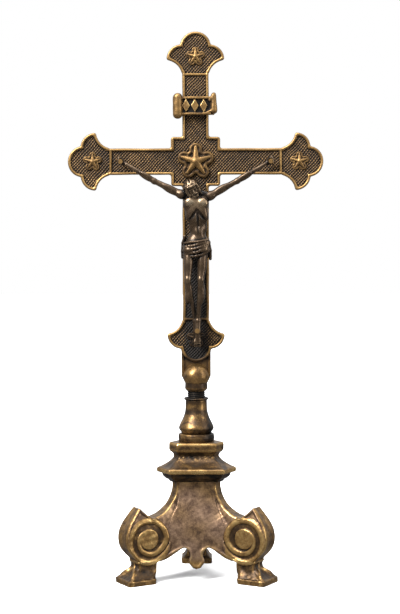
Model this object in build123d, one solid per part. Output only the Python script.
from build123d import *
import math
import os

# Altar cross on a three-footed base.
# Frame: origin on the table under the axis of the stem, +Z up, the front faces -Y. Millimetres.

# ---- Cross -------------------------------------------------------------------------------
TOTAL_HEIGHT = 360.0
CROSSING_Z = 274.6
ARM_REACH = 84.3                       # crossing to the tip of each side bud
TOP_REACH = TOTAL_HEIGHT - CROSSING_Z
FOOT_REACH = 132.2                     # crossing to the tip of the lower bud
ARM_HALF = 8.7                         # half-width of the arms and of the upright
CENTRE_HALF = 16.2                     # half-width of the square at the crossing
CROSS_FRONT = -2.2                     # Y of the rim
CROSS_BACK = 2.2
FIELD_FLOOR = -1.0                     # Y of the sunk fields
RIM = 1.8                              # width of the raised rim
BAR_FROM_TIP = 28.2                    # tip of a bud to the bar that closes its field
BAR_WIDTH = 1.7

# One bud, measured back from its tip
BUD_TIP_RADIUS = 10.2
BUD_SIDE_RADIUS = 9.7
BUD_SIDE_BACK = 18.2
BUD_SIDE_OUT = 9.3
BUD_THROAT_RADIUS = 11.6
BUD_THROAT_BACK = 30.2
BUD_THROAT_OUT = ARM_HALF + BUD_THROAT_RADIUS

# Tab under the lower bud
TAB_HALF = 9.6
TAB_FOOT_HALF = 7.5
TAB_TOP_Z = 153.0
TAB_SHOULDER_Z = 133.0
TAB_FOOT_Z = 128.5
TAB_FRONT = -0.8

# ---- Ornaments ---------------------------------------------------------------------------
STAR_RADIUS = 6.6
STAR_THICK = 1.6
STAR_WAIST = 0.42                      # inner radius of a star over its outer radius
STAR_FROM_TIP = {"top": 16.5, "left": 16.3, "right": 15.9, "bottom": 15.6}
ROSETTE_RADIUS = 12.3
ROSETTE_THICK = 1.5
ROSETTE_STAR_RADIUS = 10.0
ROSETTE_STAR_RISE = 1.8
ROSETTE_LOBE_RADIUS = 4.6
RIVET_RADIUS = 1.0
RIVET_HEAD_RADIUS = 1.9
RIVET_HEAD_RISE = 0.8
RIVET_BITE = 0.8                       # depth of a rivet in the ornament that it holds

SCROLL_LEFT = -14.8
SCROLL_LOW_Z = 305.0
SCROLL_HIGH_Z = 317.0
SCROLL_FLAP = [(11.5, 306.0), (14.5, 313.0), (12.5, 320.0), (9.5, 317.0)]    # curled right end: X and Z
SCROLL_THICK = 1.6
SCROLL_ROLL_RADIUS = 2.6
SCROLL_ROLL_LENGTH = 14.0

# ---- Figure ------------------------------------------------------------------------------
HAND_X = 49.5
HAND_Z = 274.6
HAND_Y = -4.7
HAND_THICK = 4.2
FEET_FRONT_Y = -12.4
# Ovals of the trunk from the thighs to the neck: X, Y, Z, half-width, half-depth
TRUNK = [(0.5, -9.0, 208.0, 8.6, 5.2), (0.0, -9.4, 218.0, 8.8, 5.4), (-0.2, -9.6, 224.0, 7.4, 4.8),
         (-0.4, -9.8, 238.0, 9.0, 5.6), (-0.4, -9.6, 249.0, 9.4, 5.2), (-1.0, -9.6, 254.0, 6.0, 4.0)]
HEAD = [(-1.6, -10.4, 252.0), (-4.0, -12.6, 258.4)]
NECK_RADIUS = 3.4
HEAD_RADIUS = 5.4
# Hip, knee and ankle of the left and the right leg as seen from the front
LEGS = [[(-4.0, -10.0, 210.0), (-5.4, -13.0, 197.8), (-0.6, -7.4, 172.0)],
        [(3.6, -10.0, 210.0), (2.2, -13.4, 197.8), (1.4, -9.4, 172.0)]]
HIP_RADIUS = 5.0
KNEE_RADIUS = 3.8
ANKLE_RADIUS = 2.3
FEET = [(0.8, -8.6, 172.0), 3.0, (0.9, -8.4, 155.0), 3.4]      # ends of the crossed feet, with their radii
ARM = [(8.2, -9.4, 252.8), (28.0, -8.2, 262.0), (44.6, -5.6, 273.0)]     # shoulder, elbow and wrist
SHOULDER_RADIUS = 3.6
ELBOW_RADIUS = 2.7
WRIST_RADIUS = 1.9
FOOT_NAIL = (0.8, 163.5)               # X and Z
NAIL_RADIUS = 0.8
NAIL_HEAD_RADIUS = 1.6
NAIL_HEAD_RISE = 0.9
NAIL_TIP_Y = 1.4

# ---- Ball, thread and stem ---------------------------------------------------------------
BALL_RADIUS = 8.6
BALL_Z = 132.6
COLLAR_RADIUS = 7.5
COLLAR_TOP_Z = 129.0
COLLAR_EDGE_Z = 124.5
COLLAR_FOOT_RADIUS = 6.4
COLLAR_FOOT_Z = 123.1

THREAD_RADIUS = 6.0
THREAD_ROOT_RADIUS = 5.3
THREAD_PITCH = 1.25
THREAD_CLEARANCE = 0.05                # radial running clearance
STUB_FOOT_Z = 107.0
STUB_TOP_Z = 127.4
SOCKET_DEPTH_Z = 127.8

RING_RADIUS = 7.9
RING_FOOT_Z = 117.0
RING_TOP_Z = 118.7

# Outline of the baluster, radius and height, from its neck down to its foot
BALUSTER_OUTLINE = [(7.1, 117.0), (7.1, 112.0), (7.6, 108.4), (9.1, 104.4), (10.8, 101.0), (11.8, 98.5),
                    (10.8, 96.7), (9.7, 95.1)]
BALUSTER_FOOT_Z = BALUSTER_OUTLINE[-1][1]
STUB_BORE_FOOT_Z = 103.0

DISC_RADIUS = 12.0
DISC_FOOT_Z = 89.8

TIE_RADIUS = 3.0
TIE_TOP_Z = 101.5
TIE_FOOT_Z = 52.0
TIE_HOLE_RADIUS = 3.2
WASHER_RADIUS = 6.0
WASHER_THICK = 1.2
NUT_ACROSS_FLATS = 10.0
NUT_THICK = 5.0

# ---- Base --------------------------------------------------------------------------------
CAP_FOOT_Z = 64.1
# Distance of the three side faces, then of the three corner faces, from the axis, by height
CAP_SIDES = [(13.2, 89.8), (14.0, 87.4), (13.2, 84.4), (11.0, 81.6), (11.2, 79.6), (14.4, 75.9), (17.6, 73.5),
             (20.2, 72.8), (20.2, 70.4), (17.0, 69.4), (15.6, 67.0), (13.4, 65.2), (12.9, 64.1)]
CAP_CORNERS = [(17.4, 89.8), (18.2, 87.4), (17.4, 84.4), (15.2, 81.6), (15.6, 79.6), (20.0, 75.9), (23.4, 73.5),
               (25.9, 72.8), (25.9, 70.4), (22.7, 69.4), (20.9, 67.0), (18.6, 65.2), (18.0, 64.1)]

PEDESTAL_SIDES = [(12.9, 64.1), (12.7, 60.0), (13.2, 54.0), (14.6, 48.0), (16.3, 42.0), (18.0, 35.0),
                  (19.0, 28.0), (19.6, 21.0), (19.8, 5.0)]
PEDESTAL_CORNERS = [(18.0, 64.1), (17.6, 60.0), (17.0, 54.0), (18.3, 48.0), (21.7, 42.0), (25.0, 35.0),
                    (27.1, 28.0), (28.3, 21.0), (29.0, 5.0)]
PEDESTAL_WALL = 2.5
PEDESTAL_ROOF_Z = 60.5                 # underside of the pedestal's closed top
WASHER_FOOT_Z = PEDESTAL_ROOF_Z - WASHER_THICK

# Half of the arched lower edge of one side, from the pendant's tip to the leg: X and Z
PENDANT = [(0.0, 7.9), (3.2, 9.6), (5.1, 13.0), (3.9, 18.0)]
ARCH_WAIST = (5.4, 20.6)
ARCH_NOTCH = (8.6, 21.4)
ARCH_CROWN_Z = 22.4                    # middle of the arch on the two rear sides, which have no pendant
ARCH_END = (25.5, 13.3)
ARCH_CUT_REACH = 32.0
FRONT_CUT_Y = (-45.0, -5.0)            # Y range that clears the front wall

LEG_DIRECTIONS = {"front_left": 210.0, "front_right": 330.0, "rear": 90.0}   # degrees from +X
LEG_HALF = 6.3                         # half-thickness of a leg
LEG_NECK_HALF = 5.0
LEG_TOP_Z = 56.0
# Outline of a leg in its own plane: distance from the axis and height
LEG_BROW = [(18.2, 56.0), (22.8, 48.8), (27.2, 45.3), (33.9, 42.0)]
LEG_EAR = [(33.9, 42.0), (39.6, 43.8), (45.0, 49.5)]
LEG_BELLY = [(45.0, 49.5), (52.0, 42.0), (55.5, 30.4), (51.5, 20.2), (46.9, 15.7), (46.1, 12.3)]
LEG_INNER = 33.3                       # distance of the ankle's inner face
LEG_BACK = [(33.3, 9.3), (20.0, 14.3), (12.0, 56.0)]
LEG_WAIST_Z = 42.0                     # below it a leg has its full thickness
FOOT_INNER = 35.5
FOOT_TIP = 55.8
FOOT_HALF = 10.6
FOOT_RIM = 3.3
FOOT_STEP = 0.5                        # width of the ledge on the rim of a foot
FOOT_TOP_Z = 10.3
ANKLE_Z = 12.3
ANKLE_TIP = 46.1
VOLUTE_CENTRE = (39.3, 29.0)
VOLUTE_RADIUS = 12.0
VOLUTE_RISE = 0.8
VOLUTE_EYE_RADIUS = 6.5
VOLUTE_EYE_RISE = 1.8

SCREW_RADIUS = 2.0
SCREW_HEAD_RADIUS = 3.3
SCREW_HEAD_THICK = 2.2
SCREW_BITE = 9.0                       # depth of a screw in its leg
SCREW_SEATS = [(23.9, 33.0), (26.4, 22.0)]   # distance from the axis and height of each head's seat


# ---- Shared helpers ----------------------------------------------------------------------
def front_sheet(sketch, y_from, y_to):
    """A flat sketch in X and Z, made solid from one depth to another."""
    return extrude(Plane((0, y_from, 0), x_dir=(1, 0, 0), z_dir=(0, 1, 0)) * mirror(sketch, Plane.XZ),
                   amount=y_to - y_from)


def lathe(*edges):
    """A solid turned about the stem axis from the edges of half its section."""
    return revolve(make_face(list(edges)), Axis.Z)


def lathe_polygon(points):
    return revolve(make_face(Polyline(*[(r, 0, z) for r, z in points], close=True)), Axis.Z)


def cylinder_y(x, z, radius, y_from, y_to):
    """A round bar along Y."""
    return Pos(x, (y_from + y_to) / 2, z) * Rot(90, 0, 0) * Cylinder(radius, y_to - y_from)


def cylinder_z(radius, z_from, z_to):
    """A round bar on the stem axis."""
    return Pos(0, 0, (z_from + z_to) / 2) * Cylinder(radius, z_to - z_from)


def wall_prism(profile, angle):
    """All that lies behind one wall of the base, whose distance from the axis follows the profile."""
    reach = 90.0
    points = [(0, -distance, z) for distance, z in profile]
    top, foot = points[0], points[-1]
    region = make_face([Spline(*points), Line(foot, (0, reach, foot[2])),
                        Line((0, reach, foot[2]), (0, reach, top[2])), Line((0, reach, top[2]), top)])
    return Rot(0, 0, angle) * extrude(region, amount=reach, dir=(1, 0, 0), both=True)


def three_sided(sides, corners):
    """A body with three side walls, the first facing -Y, and three blunt corners between them."""
    body = wall_prism(sides, 0) & wall_prism(corners, 60)
    for turn in (120, 240):
        body = body & wall_prism(sides, turn) & wall_prism(corners, turn + 60)
    return body


def inset(profile, depth, top_z):
    """The same profile moved towards the axis, and cut off at a lower top."""
    lower = [(distance - depth, z) for distance, z in profile if z < top_z]
    return [(lower[0][0], top_z)] + lower


# ---- Cross -------------------------------------------------------------------------------
BUD_PLACES = {"top": (0.0, TOP_REACH), "left": (90.0, ARM_REACH), "right": (-90.0, ARM_REACH),
              "bottom": (180.0, FOOT_REACH)}


def bud_outline(rim=0.0):
    """One budded end, pointing along +Y of the sketch, with its tip at the origin, less a rim."""
    bud = Pos(0, -BUD_TIP_RADIUS) * Circle(BUD_TIP_RADIUS - rim)
    bud += Pos(0, -(BUD_SIDE_BACK + BUD_THROAT_BACK) / 2) * Rectangle(2 * BUD_SIDE_OUT,
                                                                      BUD_THROAT_BACK - BUD_SIDE_BACK)
    for side in (-1, 1):
        bud += Pos(side * BUD_SIDE_OUT, -BUD_SIDE_BACK) * Circle(BUD_SIDE_RADIUS - rim)
    for side in (-1, 1):
        bud -= Pos(side * BUD_THROAT_OUT, -BUD_THROAT_BACK) * Circle(BUD_THROAT_RADIUS + rim)
    return bud


def at_bud(name):
    """The place of one bud's tip, turned so that +Y points outwards."""
    angle, reach = BUD_PLACES[name]
    return Pos(0, CROSSING_Z) * Rot(0, 0, angle) * Pos(0, reach)


def cross_outline(rim=0.0):
    """The whole outline, or with a rim the area inside that rim."""
    shape = Pos(0, CROSSING_Z) * Rectangle(2 * (CENTRE_HALF - rim), 2 * (CENTRE_HALF - rim))
    for name, (angle, reach) in BUD_PLACES.items():
        length = reach - BUD_SIDE_BACK
        shape += (Pos(0, CROSSING_Z) * Rot(0, 0, angle) * Pos(0, length / 2)
                  * Rectangle(2 * (ARM_HALF - rim), length))
        shape += at_bud(name) * bud_outline(rim)
    return shape


def field_outline():
    """The sunk fields: the outline less its rim and the bars across the four throats."""
    field = cross_outline(RIM)
    for name in BUD_PLACES:
        field -= at_bud(name) * Pos(0, -BAR_FROM_TIP) * Rectangle(3 * ARM_HALF, BAR_WIDTH)
    return field


def tab():
    """The flat tongue that the ball holds."""
    half = [(0, TAB_TOP_Z), (TAB_HALF, TAB_TOP_Z), (TAB_HALF, TAB_SHOULDER_Z), (TAB_FOOT_HALF, TAB_FOOT_Z)]
    other = [(-x, z) for x, z in reversed(half[1:])]
    return front_sheet(make_face(Polyline(*half, *other, close=True)), TAB_FRONT, CROSS_BACK)


def ornament_places():
    """The centres of the five applied ornaments, in X and Z."""
    places = {"centre": (0.0, CROSSING_Z)}
    for name, (angle, reach) in BUD_PLACES.items():
        out = reach - STAR_FROM_TIP[name]
        turn = math.radians(angle)
        places[name] = (-out * math.sin(turn), CROSSING_Z + out * math.cos(turn))
    return places


def rivet_tail(x, z, front_y):
    """A rivet driven from the back of the cross, with its head on the back."""
    shank = cylinder_y(x, z, RIVET_RADIUS, front_y, CROSS_BACK)
    return shank + cylinder_y(x, z, RIVET_HEAD_RADIUS, CROSS_BACK, CROSS_BACK + RIVET_HEAD_RISE)


def star_rivets():
    return [rivet_tail(x, z, FIELD_FLOOR - RIVET_BITE) for x, z in ornament_places().values()]


def titulus_rivet():
    return rivet_tail(0, (SCROLL_LOW_Z + SCROLL_HIGH_Z) / 2, CROSS_FRONT - RIVET_BITE)


def nail(x, z, head_y):
    """A nail whose head sits in front of a hand or of the feet."""
    return (cylinder_y(x, z, NAIL_RADIUS, head_y, NAIL_TIP_Y)
            + cylinder_y(x, z, NAIL_HEAD_RADIUS, head_y - NAIL_HEAD_RISE, head_y))


def hand_nails():
    return [nail(side * HAND_X, HAND_Z, HAND_Y - HAND_THICK / 2) for side in (-1, 1)]


def foot_nail():
    return nail(*FOOT_NAIL, FEET_FRONT_Y)


def cross_body():
    body = front_sheet(cross_outline(), CROSS_FRONT, CROSS_BACK)
    body -= front_sheet(field_outline(), CROSS_FRONT, FIELD_FLOOR)
    body += tab()
    for fastener in star_rivets() + hand_nails() + [titulus_rivet(), foot_nail()]:
        body -= fastener
    return body


# ---- Ornaments ---------------------------------------------------------------------------
def star_outline(radius):
    """A five-pointed star with one point up."""
    points = []
    for step in range(10):
        reach = radius if step % 2 == 0 else radius * STAR_WAIST
        turn = math.radians(36 * step)
        points.append((reach * math.sin(turn), reach * math.cos(turn)))
    return make_face(Polyline(*points, close=True))


def small_star(name):
    x, z = ornament_places()[name]
    star = front_sheet(Pos(x, z) * star_outline(STAR_RADIUS), FIELD_FLOOR - STAR_THICK, FIELD_FLOOR)
    star -= cylinder_y(x, z, RIVET_RADIUS, FIELD_FLOOR - RIVET_BITE, FIELD_FLOOR)
    return star - foot_nail()


def rosette_centre():
    """A disc with five lobes, and a raised star whose points lie on the lobes."""
    disc = Circle(ROSETTE_RADIUS - ROSETTE_LOBE_RADIUS)
    for step in range(5):
        turn = math.radians(36 + 72 * step)
        reach = ROSETTE_RADIUS - ROSETTE_LOBE_RADIUS
        disc += Pos(reach * math.sin(turn), reach * math.cos(turn)) * Circle(ROSETTE_LOBE_RADIUS)
    face_y = FIELD_FLOOR - ROSETTE_THICK
    rosette = front_sheet(Pos(0, CROSSING_Z) * disc, face_y, FIELD_FLOOR)
    star = Pos(0, CROSSING_Z) * star_outline(ROSETTE_STAR_RADIUS)
    rosette += front_sheet(star, face_y - ROSETTE_STAR_RISE, face_y)
    return rosette - cylinder_y(0, CROSSING_Z, RIVET_RADIUS, FIELD_FLOOR - RIVET_BITE, FIELD_FLOOR)


def titulus_scroll():
    """A plate with a roll at its left end and a pointed, curled flap at its right end."""
    left = SCROLL_LEFT + SCROLL_ROLL_RADIUS
    outline = Polyline((left, SCROLL_LOW_Z), *SCROLL_FLAP, (left, SCROLL_HIGH_Z), close=True)
    plate = front_sheet(make_face(outline), CROSS_FRONT - SCROLL_THICK, CROSS_FRONT)
    roll = Cylinder(SCROLL_ROLL_RADIUS, SCROLL_ROLL_LENGTH)
    plate += Pos(left, CROSS_FRONT - SCROLL_ROLL_RADIUS, (SCROLL_LOW_Z + SCROLL_HIGH_Z) / 2) * roll
    return plate - titulus_rivet()


# ---- Figure ------------------------------------------------------------------------------
def limb(start, start_radius, end, end_radius):
    """A tapering limb with round ends between two points."""
    run = Vector(*end) - Vector(*start)
    middle = (Vector(*start) + Vector(*end)) * 0.5
    cone = Plane(middle, z_dir=run) * Cone(start_radius, end_radius, run.length)
    return Pos(*start) * Sphere(start_radius) + cone + Pos(*end) * Sphere(end_radius)


def oval_stack(levels):
    """A trunk lofted through ovals: X, Y, Z of each centre, then half-width and half-depth."""
    return loft([Plane((x, y, z)) * Ellipse(width, depth) for x, y, z, width, depth in levels])


def corpus():
    neck, crown = HEAD
    figure = oval_stack(TRUNK) + limb(neck, NECK_RADIUS, crown, HEAD_RADIUS)
    for hip, knee, ankle in LEGS:
        figure += limb(hip, HIP_RADIUS, knee, KNEE_RADIUS)
        figure += limb(knee, KNEE_RADIUS, ankle, ANKLE_RADIUS)
    figure += limb(*FEET)
    for side in (-1, 1):
        shoulder, elbow, wrist = ((side * x, y, z) for x, y, z in ARM)
        hand = (side * (HAND_X - 0.4), HAND_Y, HAND_Z)
        figure += limb(shoulder, SHOULDER_RADIUS, elbow, ELBOW_RADIUS)
        figure += limb(elbow, ELBOW_RADIUS, wrist, WRIST_RADIUS)
        figure += limb(wrist, WRIST_RADIUS, hand, HAND_THICK / 2)
    for fastener in hand_nails() + [foot_nail()]:
        figure -= fastener
    return figure


# ---- Ball, thread and stem ---------------------------------------------------------------
def ball_socket():
    """A ball with a collar, slotted for the tab and bored from below for the thread."""
    ball = Pos(0, 0, BALL_Z) * Sphere(BALL_RADIUS)
    collar = lathe_polygon([(0, COLLAR_TOP_Z), (COLLAR_RADIUS, COLLAR_TOP_Z), (COLLAR_RADIUS, COLLAR_EDGE_Z),
                            (COLLAR_FOOT_RADIUS, COLLAR_FOOT_Z), (0, COLLAR_FOOT_Z)])
    body = split(ball, Plane.XY.offset(COLLAR_TOP_Z), keep=Keep.TOP) + collar
    body -= cylinder_z(THREAD_RADIUS + THREAD_CLEARANCE, COLLAR_FOOT_Z, SOCKET_DEPTH_Z)
    return body - tab()


def threaded_stub():
    """A stud with thread-like grooves."""
    stub = cylinder_z(THREAD_RADIUS, STUB_FOOT_Z, STUB_TOP_Z)
    groove_count = int((STUB_TOP_Z - STUB_FOOT_Z) / THREAD_PITCH)
    outside, half = THREAD_RADIUS + 1, 0.8 * THREAD_PITCH
    for step in range(groove_count):
        z = STUB_FOOT_Z + THREAD_PITCH * (step + 0.5)
        stub -= lathe_polygon([(outside, z - half), (THREAD_ROOT_RADIUS, z), (outside, z + half)])
    return stub


def neck_ring():
    waist = (RING_FOOT_Z + RING_TOP_Z) / 2
    bulge = (RING_TOP_Z - RING_FOOT_Z) / 2
    inner = THREAD_RADIUS + THREAD_CLEARANCE
    top, foot = (RING_RADIUS - bulge, 0, RING_TOP_Z), (RING_RADIUS - bulge, 0, RING_FOOT_Z)
    return lathe(ThreePointArc(foot, (RING_RADIUS, 0, waist), top), Line(top, (inner, 0, RING_TOP_Z)),
                 Line((inner, 0, RING_TOP_Z), (inner, 0, RING_FOOT_Z)), Line((inner, 0, RING_FOOT_Z), foot))


def baluster():
    outline = [(r, 0, z) for r, z in BALUSTER_OUTLINE]
    top, foot = outline[0], outline[-1]
    body = lathe(Spline(*outline), Line(foot, (0, 0, foot[2])), Line((0, 0, foot[2]), (0, 0, top[2])),
                 Line((0, 0, top[2]), top))
    body -= cylinder_z(THREAD_RADIUS + THREAD_CLEARANCE, STUB_BORE_FOOT_Z, RING_FOOT_Z)
    return body - cylinder_z(TIE_RADIUS, BALUSTER_FOOT_Z, TIE_TOP_Z)


def stem_disc():
    half = (BALUSTER_FOOT_Z - DISC_FOOT_Z) / 2
    top, foot = (DISC_RADIUS - half, 0, BALUSTER_FOOT_Z), (DISC_RADIUS - half, 0, DISC_FOOT_Z)
    return lathe(ThreePointArc(foot, (DISC_RADIUS, 0, DISC_FOOT_Z + half), top),
                 Line(top, (TIE_HOLE_RADIUS, 0, BALUSTER_FOOT_Z)),
                 Line((TIE_HOLE_RADIUS, 0, BALUSTER_FOOT_Z), (TIE_HOLE_RADIUS, 0, DISC_FOOT_Z)),
                 Line((TIE_HOLE_RADIUS, 0, DISC_FOOT_Z), foot))


def tie_rod():
    return cylinder_z(TIE_RADIUS, TIE_FOOT_Z, TIE_TOP_Z)


def tie_washer():
    return (cylinder_z(WASHER_RADIUS, WASHER_FOOT_Z, PEDESTAL_ROOF_Z)
            - cylinder_z(TIE_HOLE_RADIUS, WASHER_FOOT_Z, PEDESTAL_ROOF_Z))


def tie_nut():
    foot = WASHER_FOOT_Z - NUT_THICK
    hexagon = Pos(0, 0, foot) * RegularPolygon(NUT_ACROSS_FLATS / 2, 6, major_radius=False)
    return extrude(hexagon, amount=NUT_THICK) - cylinder_z(TIE_RADIUS, foot, WASHER_FOOT_Z)


# ---- Base --------------------------------------------------------------------------------
def plinth_cap():
    return three_sided(CAP_SIDES, CAP_CORNERS) - cylinder_z(TIE_HOLE_RADIUS, CAP_FOOT_Z, DISC_FOOT_Z)


def pedestal_core():
    """The pedestal as if it were solid."""
    return three_sided(PEDESTAL_SIDES, PEDESTAL_CORNERS)


def arch_cutter(pendant):
    """What is cut away under the front wall, with or without a pendant left in its middle."""
    far = (ARCH_CUT_REACH, ARCH_END[1])
    if pendant:
        start = PENDANT[0]
        edges = [Spline(*PENDANT), ThreePointArc(PENDANT[-1], ARCH_WAIST, ARCH_NOTCH)]
    else:
        start = (0, ARCH_CROWN_Z)
        edges = [Line(start, ARCH_NOTCH)]
    edges += [Line(ARCH_NOTCH, ARCH_END), Line(ARCH_END, far), Line(far, (ARCH_CUT_REACH, 0)),
              Line((ARCH_CUT_REACH, 0), (0, 0)), Line((0, 0), start)]
    half = make_face(edges)
    return front_sheet(half + mirror(half, Plane.YZ), *FRONT_CUT_Y)


def leg_screw(angle, seat, height):
    """One screw, driven outwards from inside the pedestal along its leg's direction."""
    head = Cylinder(SCREW_HEAD_RADIUS, SCREW_HEAD_THICK)
    head = Pos(seat - SCREW_HEAD_THICK / 2, 0, height) * Rot(0, 90, 0) * head
    shank_length = PEDESTAL_WALL + SCREW_BITE
    shank = Pos(seat + shank_length / 2, 0, height) * Rot(0, 90, 0) * Cylinder(SCREW_RADIUS, shank_length)
    return Rot(0, 0, angle) * (head + shank)


def leg_screws():
    return [leg_screw(angle, *seat) for angle in LEG_DIRECTIONS.values() for seat in SCREW_SEATS]


def pedestal_shell():
    hollow = three_sided(inset(PEDESTAL_SIDES, PEDESTAL_WALL, PEDESTAL_ROOF_Z),
                         inset(PEDESTAL_CORNERS, PEDESTAL_WALL, PEDESTAL_ROOF_Z))
    shell = pedestal_core() - hollow
    for turn in (0, 120, 240):
        shell -= Rot(0, 0, turn) * arch_cutter(pendant=turn == 0)
    for angle in LEG_DIRECTIONS.values():
        for seat, height in SCREW_SEATS:
            spot = Pos(seat / 2, 0, height) * Rot(0, 90, 0) * Cylinder(SCREW_HEAD_RADIUS, seat)
            shell -= Rot(0, 0, angle) * spot
    for screw in leg_screws():
        shell -= screw
    return shell - cylinder_z(TIE_HOLE_RADIUS, PEDESTAL_ROOF_Z, CAP_FOOT_Z)


def leg_slab():
    """The flat scroll of a leg, along +X, thinner towards its neck."""
    brow = [(r, 0, z) for r, z in LEG_BROW]
    ear = [(r, 0, z) for r, z in LEG_EAR]
    belly = [(r, 0, z) for r, z in LEG_BELLY]
    inner = [(LEG_INNER, 0, ANKLE_Z / 2)] + [(r, 0, z) for r, z in LEG_BACK]
    start, ankle = brow[0], belly[-1]
    foot = (ANKLE_TIP, 0, ANKLE_Z / 2)
    outline = [Spline(*brow), Spline(*ear), Spline(*belly), Line(ankle, foot), Line(foot, inner[0]),
               Polyline(*inner), Line(inner[-1], start)]
    slab = extrude(make_face(outline), amount=LEG_HALF, dir=(0, 1, 0), both=True)
    edge = [(0, -LEG_HALF, 0), (0, -LEG_HALF, LEG_WAIST_Z), (0, -LEG_NECK_HALF, LEG_TOP_Z)]
    edge += [(0, -y, z) for _, y, z in reversed(edge)]
    taper = extrude(make_face(Polyline(*edge, close=True)), amount=2 * FOOT_TIP, dir=(1, 0, 0))
    return slab & taper


def foot_block():
    """A foot: a flat rim, with a top that slopes up to the ankle."""
    middle = (FOOT_INNER + FOOT_TIP) / 2
    rim = Pos(middle, 0, FOOT_RIM / 2) * Box(FOOT_TIP - FOOT_INNER, 2 * FOOT_HALF, FOOT_RIM)
    length, width = FOOT_TIP - FOOT_INNER - 2 * FOOT_STEP, 2 * (FOOT_HALF - FOOT_STEP)
    lower = Pos(middle, 0, FOOT_RIM) * Rectangle(length, width)
    upper = Pos((LEG_INNER + ANKLE_TIP) / 2, 0, FOOT_TOP_Z) * Rectangle(ANKLE_TIP - LEG_INNER, 2 * LEG_HALF)
    return rim + loft([lower, upper])


def volute():
    """The round boss on both flat sides of a leg, with a raised eye."""
    r, z = VOLUTE_CENTRE
    disc = cylinder_y(r, z, VOLUTE_RADIUS, -LEG_HALF - VOLUTE_RISE, LEG_HALF + VOLUTE_RISE)
    eye_reach = LEG_HALF + VOLUTE_EYE_RISE
    return disc + cylinder_y(r, z, VOLUTE_EYE_RADIUS, -eye_reach, eye_reach)


def scroll_leg(angle):
    leg = Rot(0, 0, angle) * (leg_slab() + volute() + foot_block()) - pedestal_core()
    for screw in leg_screws():
        leg -= screw
    return leg


# ---- Write one file per piece ------------------------------------------------------------
def group(solids):
    return Compound(children=[Part() + solid for solid in solids])


NODES = {
    "cross_body": cross_body(),
    "rosette_centre": rosette_centre(),
    "star_rivets": group(star_rivets()),
    "titulus_scroll": titulus_scroll(),
    "titulus_rivet": titulus_rivet(),
    "corpus": corpus(),
    "hand_nails": group(hand_nails()),
    "foot_nail": foot_nail(),
    "ball_socket": ball_socket(),
    "threaded_stub": threaded_stub(),
    "neck_ring": neck_ring(),
    "baluster": baluster(),
    "stem_disc": stem_disc(),
    "plinth_cap": plinth_cap(),
    "pedestal_shell": pedestal_shell(),
    "leg_screws": group(leg_screws()),
    "tie_rod": tie_rod(),
    "tie_washer": tie_washer(),
    "tie_nut": tie_nut(),
}
for bud in BUD_PLACES:
    NODES["star_" + bud] = small_star(bud)
for place, direction in LEG_DIRECTIONS.items():
    NODES["scroll_leg_" + place] = scroll_leg(direction)

os.makedirs("parts", exist_ok=True)
for node, shape in NODES.items():
    export_step(shape, f"parts/{node}.step")
